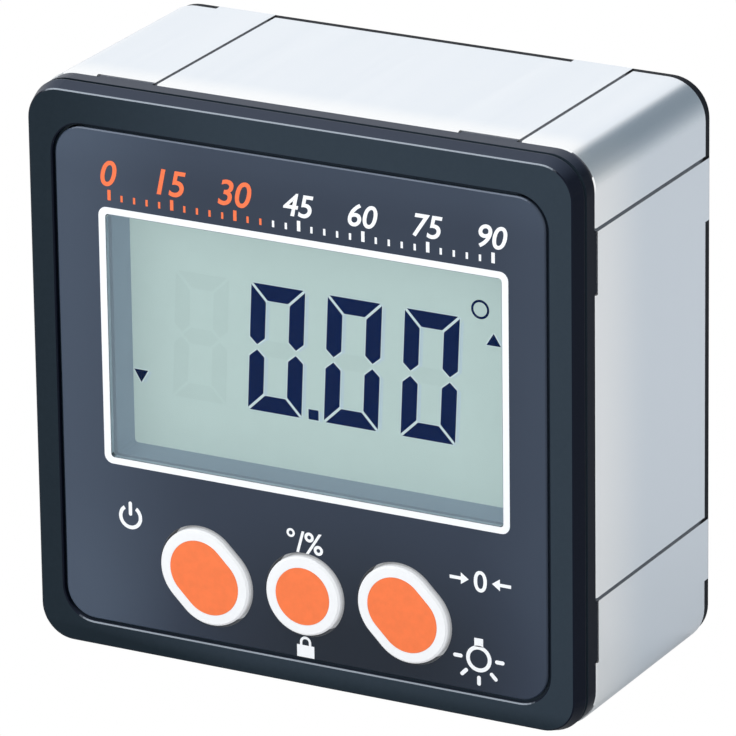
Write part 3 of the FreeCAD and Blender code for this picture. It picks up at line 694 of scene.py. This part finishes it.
# A plain angle scale from 0 to 90 over the window, its first part in orange
def angle_scale(orange, white):
    first, last = -20.6 * MM, 21.0 * MM
    base_z = 47.22 * MM
    full_angle, steps, minors = 90, 6, 5
    orange_steps = 2.5
    number_rise, orange_high, white_high = 1.4 * MM, 2.65 * MM, 2.35 * MM
    major_tick, minor_tick = (1.05 * MM, 0.36 * MM), (0.65 * MM, 0.24 * MM)
    ticks = {"orange": [], "white": []}
    for i in range(steps * minors + 1):
        x = first + (last - first) * i / (steps * minors)
        high, wide = minor_tick if i % minors else major_tick
        side = "orange" if i < orange_steps * minors else "white"
        ticks[side].append(line_points(x, base_z, x, base_z + high, wide))
    print_label("scale_ticks_low", ticks["orange"], orange)
    print_label("scale_ticks_high", ticks["white"], white)
    for i in range(steps + 1):
        x = first + (last - first) * i / steps
        angle = str(full_angle * i // steps)
        high, ink = (orange_high, orange) if i < orange_steps else (white_high, white)
        print_signs("scale_" + angle, angle, x, base_z + number_rise, high, ink, SCALE_LEAN, SCALE_WEIGHT)


def degree_sign(ink):
    x, z, high = 0.3 * MM, 14.3 * MM, 2.35 * MM
    print_signs("degree_percent", "°/%", x, z, high, ink)


# A zero between two arrows that point at it
def zero_sign(ink):
    x, foot, high = 19.37 * MM, 13.62 * MM, 2.2 * MM
    print_signs("zero_mark", "0", x, foot, high, ink)
    z, line = 14.72 * MM, 0.34 * MM
    tip_reach, tail_reach = 1.25 * MM, 3.3 * MM
    head, barb = 0.85 * MM, 0.6 * MM
    arrows = []
    for side in (-1, 1):
        tip = x + side * tip_reach
        tail = x + side * tail_reach
        neck = tip + side * head
        arrows.append(line_points(tail, z, neck, z, line))
        arrows.append([(tip, z), (neck, z + barb), (neck, z - barb)])
    print_label("zero_arrows", arrows, ink)


# The usual sign for power: a ring open at its top, and an upright bar
def power_mark(ink):
    x, z = -19.1 * MM, 14.75 * MM
    r, line = 1.3 * MM, 0.38 * MM
    start, end, steps = 125, 415, 40
    bar_low, bar_past = 0.3 * MM, 0.1 * MM
    outer = arc_points(x, z, r, start, end, steps)
    inner = arc_points(x, z, r - line, start, end, steps)
    bar = round_line_points(x, z + bar_low, x, z + r + bar_past, line)
    print_label("power_mark", band_between(outer, inner, closed=False) + [bar], ink)


# A body with a shackle, whose two legs stand on it
def padlock(ink):
    x, z = 0.2 * MM, 3.42 * MM
    body_w, body_h = 1.9 * MM, 1.25 * MM
    shackle_r, leg, line, steps = 0.62 * MM, 0.3 * MM, 0.26 * MM, 16
    top = z + body_h
    body = box_points(x - body_w / 2, x + body_w / 2, z, top)

    def bow(r):
        return [(x + r, top)] + arc_points(x, top + leg, r, 0, 180, steps) + [(x - r, top)]
    shackle = band_between(bow(shackle_r), bow(shackle_r - line), closed=False)
    print_label("hold_padlock", [body] + shackle, ink)


# A ring with a cap on it and five rays round its lower half
def lamp_mark(ink):
    x, z = 19.14 * MM, 6.71 * MM
    r, line = 1.37 * MM, 0.4 * MM
    cap_w, cap_sunk, cap_rise = 0.95 * MM, 0.12 * MM, 0.75 * MM
    start, end = r + 0.58 * MM, r + 1.2 * MM
    ring = band_between(circle_points(x, z, r), circle_points(x, z, r - line))
    print_label("lamp_ring", ring, ink)
    marks = [line_points(x, z + r - cap_sunk, x, z + r + cap_rise, cap_w)]
    for angle in (180, 225, 270, 315, 360):
        a = math.radians(angle)
        c, s = math.cos(a), math.sin(a)
        marks.append(round_line_points(x + start * c, z + start * s, x + end * c, z + end * s, line))
    print_label("lamp_rays", marks, ink)


# Display


# An outline set at a place, leaning as the digits do
def leaning(points, x, z):
    return [(x + px + DIGIT_LEAN * pz, z + pz) for px, pz in points]


def moved(outlines, dx, dz):
    return [[(x + dx, z + dz) for x, z in outline] for outline in outlines]


# The seven bars of a digit, named a to g from the top round to the middle
def digit_bars():
    w, h, t, g = DIGIT_W, DIGIT_H, DIGIT_BAR, DIGIT_GAP
    m, tip, neck = h / 2, DIGIT_TIP, DIGIT_TIP + DIGIT_SHOULDER
    upper = [(0, h - g), (t, h - t - g), (t, m + neck), (t / 2, m + tip), (0, m + neck)]
    lower = [(0, g), (t, t + g), (t, m - neck), (t / 2, m - tip), (0, m - neck)]
    top = [(g, h), (w - g, h), (w - t - g, h - t), (t + g, h - t)]
    bottom = [(g, 0), (w - g, 0), (w - t - g, t), (t + g, t)]
    inset = t / 2 + g
    middle = [
        (inset, m), (inset + t / 2, m + t / 2), (w - inset - t / 2, m + t / 2),
        (w - inset, m), (w - inset - t / 2, m - t / 2), (inset + t / 2, m - t / 2),
    ]

    def across(points):
        return [(w - px, pz) for px, pz in points]
    return {
        "a": top, "b": across(upper), "c": across(lower), "d": bottom,
        "e": lower, "f": upper, "g": middle,
    }


# A reading of zero with its point, pointers and degree ring, each with a painted pale halo and a painted
# soft shadow, and the unlit bars as ghosts
def display_marks(lit, fringe, shadow, ghost):
    point = (-1.72 * MM, -0.61 * MM, 26.19 * MM, 27.24 * MM)
    pointer_w, pointer_up, pointer_down = 1.56 * MM, 1.23 * MM, -1.30 * MM
    ring_x, ring_z = 17.08 * MM, 40.42 * MM
    ring_outer, ring_inner = 0.97 * MM, 0.73 * MM
    bars = digit_bars()
    dark, faint = [], []
    for place in range(DIGITS):
        x = DIGIT_X + place * DIGIT_PITCH
        dark += [leaning(bars[key], x, DIGIT_Z) for key in "abcdef"]
        faint.append(leaning(bars["g"], x, DIGIT_Z))
    x = DIGIT_X - DIGIT_PITCH
    faint += [leaning(bars[key], x, DIGIT_Z) for key in "abcdefg"]
    dark.append(box_points(*point))
    dark.append(pointer_points(18.5 * MM, 36.95 * MM, pointer_w, pointer_up))
    dark.append(pointer_points(-20.3 * MM, 28.28 * MM, pointer_w, pointer_down))
    ring = band_between(
        circle_points(ring_x, ring_z, ring_outer), circle_points(ring_x, ring_z, ring_inner)
    )
    # Painted shadow and painted pale halo round the dark marks
    cast = moved(dark, *SHADOW_SHIFT)
    edges = []
    for dx, dz in ((1, 1), (1, -1), (-1, 1), (-1, -1)):
        edges += moved(dark, dx * FRINGE, dz * FRINGE)
    print_display("digit_shadows", cast, 0.3, shadow)
    print_display("digit_fringes", edges, 0.5, fringe)
    print_display("digit_ghosts", faint, 0.6, ghost)
    print_display("digit_bars", dark, 1, lit)
    print_display("degree_ring", ring, 1, lit)


# Finishes of the pieces


def dress(material, *names):
    for name in names:
        nodes[name].data.materials.clear()
        nodes[name].data.materials.append(material)


def dress_case():
    dress(aluminium(), "side_frame")
    dress(moulded_front(), "front_bezel")
    back = grained("moulded_back", colour(25, 29, 35), 0.55, 1100, spread=0.20, relief=0.20, shine=0.06)
    dress(back, "back_cover", "battery_door", "battery_tray")
    dress(label_film(), "front_label")
    dress(clear_lens(), "display_window")
    steel = grained("plated_steel", colour(176, 178, 182), 0.32, 700, 0.05, 0.02, metallic=1.0)
    dress(steel, "bezel_screws", "cover_screws", "board_screws", "crystal")
    nickel = grained("nickel_plate", colour(196, 194, 186), 0.25, 500, 0.04, 0.01, metallic=1.0)
    dress(nickel, "base_magnets", "bridge_contact", "upper_contact", "lower_contact")
    dress(nickel, "spring_upper", "spring_lower")


def dress_keys():
    white = glowing_film("key_white", colour(243, 245, 247), 0.28)
    orange = grained("key_orange", colour(247, 120, 62), 0.40, 1200, 0.04, 0.03)
    black = grained("switch_black", colour(36, 37, 39), 0.5, 900, 0.08, 0.05)
    for side in ("left", "middle", "right"):
        dress(white, "key_rim_" + side)
        dress(orange, "key_cap_" + side)
        dress(black, "switch_body_" + side, "switch_plunger_" + side)


def dress_inside():
    dress(glowing_film("tub_grey", colour(143, 160, 174), 0.45), "lcd_holder")
    dress(glowing_film("display_grey", colour(188, 208, 205), 0.56), "lcd_glass")
    dress(grained("light_guide", colour(232, 238, 236), 0.2, 700, 0.02, 0.01), "lcd_backlight")
    dress(grained("led_body", colour(250, 236, 190), 0.3, 700, 0.03, 0.01), "backlight_leds")
    striped = (1, 0.1, 0.1)
    zebra = grained("zebra_rubber", colour(214, 130, 140), 0.6, 1800, 0.25, 0.05, stretch=striped)
    dress(zebra, "zebra_strip")
    dress(board_mask(), "main_board")
    dress(grained("chip_black", colour(30, 31, 33), 0.55, 1200, 0.1, 0.05), "controller_chip", "tilt_sensor")
    dress(grained("part_ceramic", colour(158, 128, 96), 0.5, 900, 0.1, 0.05), "board_parts")
    dress(grained("foam_black", colour(38, 38, 40), 0.95, 1600, 0.3, 0.5), "door_foam")
    dress(grained("lead_red", colour(190, 40, 34), 0.5, 900, 0.05, 0.03), "lead_positive")
    dress(grained("lead_black", colour(28, 28, 30), 0.5, 900, 0.05, 0.03), "lead_negative")
    pale, band = colour(206, 210, 214), colour(52, 84, 122)
    near_x, far_x = 11 * MM, 11.2 * MM
    dress(graded("cell_jacket_upper", "X", near_x, far_x, pale, band, 0.3), "cell_upper")
    dress(graded("cell_jacket_lower", "X", -far_x, -near_x, band, pale, 0.3), "cell_lower")


def print_face():
    white = grained("ink_white", colour(244, 247, 250), 0.45, 1500, 0.01, 0.01)
    orange = grained("ink_orange", colour(246, 116, 66), 0.45, 1500, 0.02, 0.01)
    window_line(white)
    angle_scale(orange, white)
    degree_sign(white)
    zero_sign(white)
    power_mark(white)
    padlock(white)
    lamp_mark(white)
    lit = grained("segment_navy", colour(12, 32, 76), 0.6, 900, 0.05, 0.01, shine=0)
    fringe = glowing_film("segment_fringe", colour(206, 222, 225), 0.56)
    shadow = glowing_film("segment_shadow", colour(184, 204, 212), 0.56)
    ghost = glowing_film("segment_ghost", colour(184, 204, 201), 0.56)
    display_marks(lit, fringe, shadow, ghost)


bpy.context.scene.view_settings.view_transform = "Standard"
make_floor()
make_world()
for name, place, size, power in LAMPS:
    area_lamp(name, place, size, power)
make_camera()
dress_case()
dress_keys()
dress_inside()
print_face()
